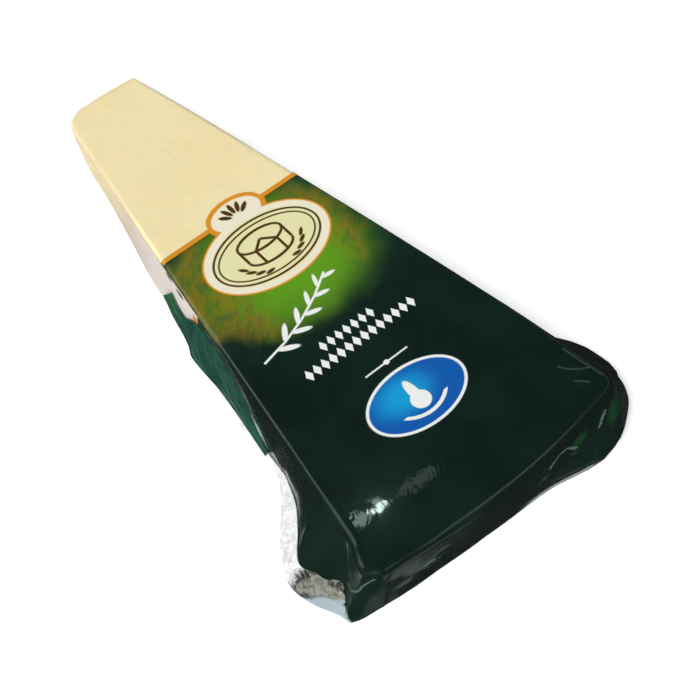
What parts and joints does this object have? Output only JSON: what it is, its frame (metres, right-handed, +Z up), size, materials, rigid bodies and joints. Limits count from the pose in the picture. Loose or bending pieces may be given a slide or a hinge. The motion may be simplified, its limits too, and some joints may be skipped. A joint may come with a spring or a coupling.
{
  "type": "vacuum-packed hard cheese wedge",
  "caption": "Wedge of hard cheese vacuum packed lying flat: clear film over the tip, dark printed film over the rind half, a printed side lap and a clear seam strip.",
  "frame": {"origin": "on the surface the pack lies on, below the middle of its outer box", "axes": "+Y from the rind end to the narrow tip, +Z up through the printed face, +X to the right seen from above with the tip away"},
  "size_m": [0.1184, 0.193, 0.024],
  "materials": {
    "cheese": "close-grained straw-coloured hard cheese",
    "printed_film": "glossy printed film, dark green with a bright green glow",
    "clear_film": "clear glossy film drawn tight",
    "flap_film": "satin green film, the print's reverse",
    "seam_film": "milky clear crinkled film"
  },
  "bodies": {
    "root": {"cheese_wedge": "cheese", "film_printed": "printed_film", "film_clear_tip": "clear_film", "side_flap": "flap_film", "seam_strip": "seam_film"}
  },
  "joints": []
}
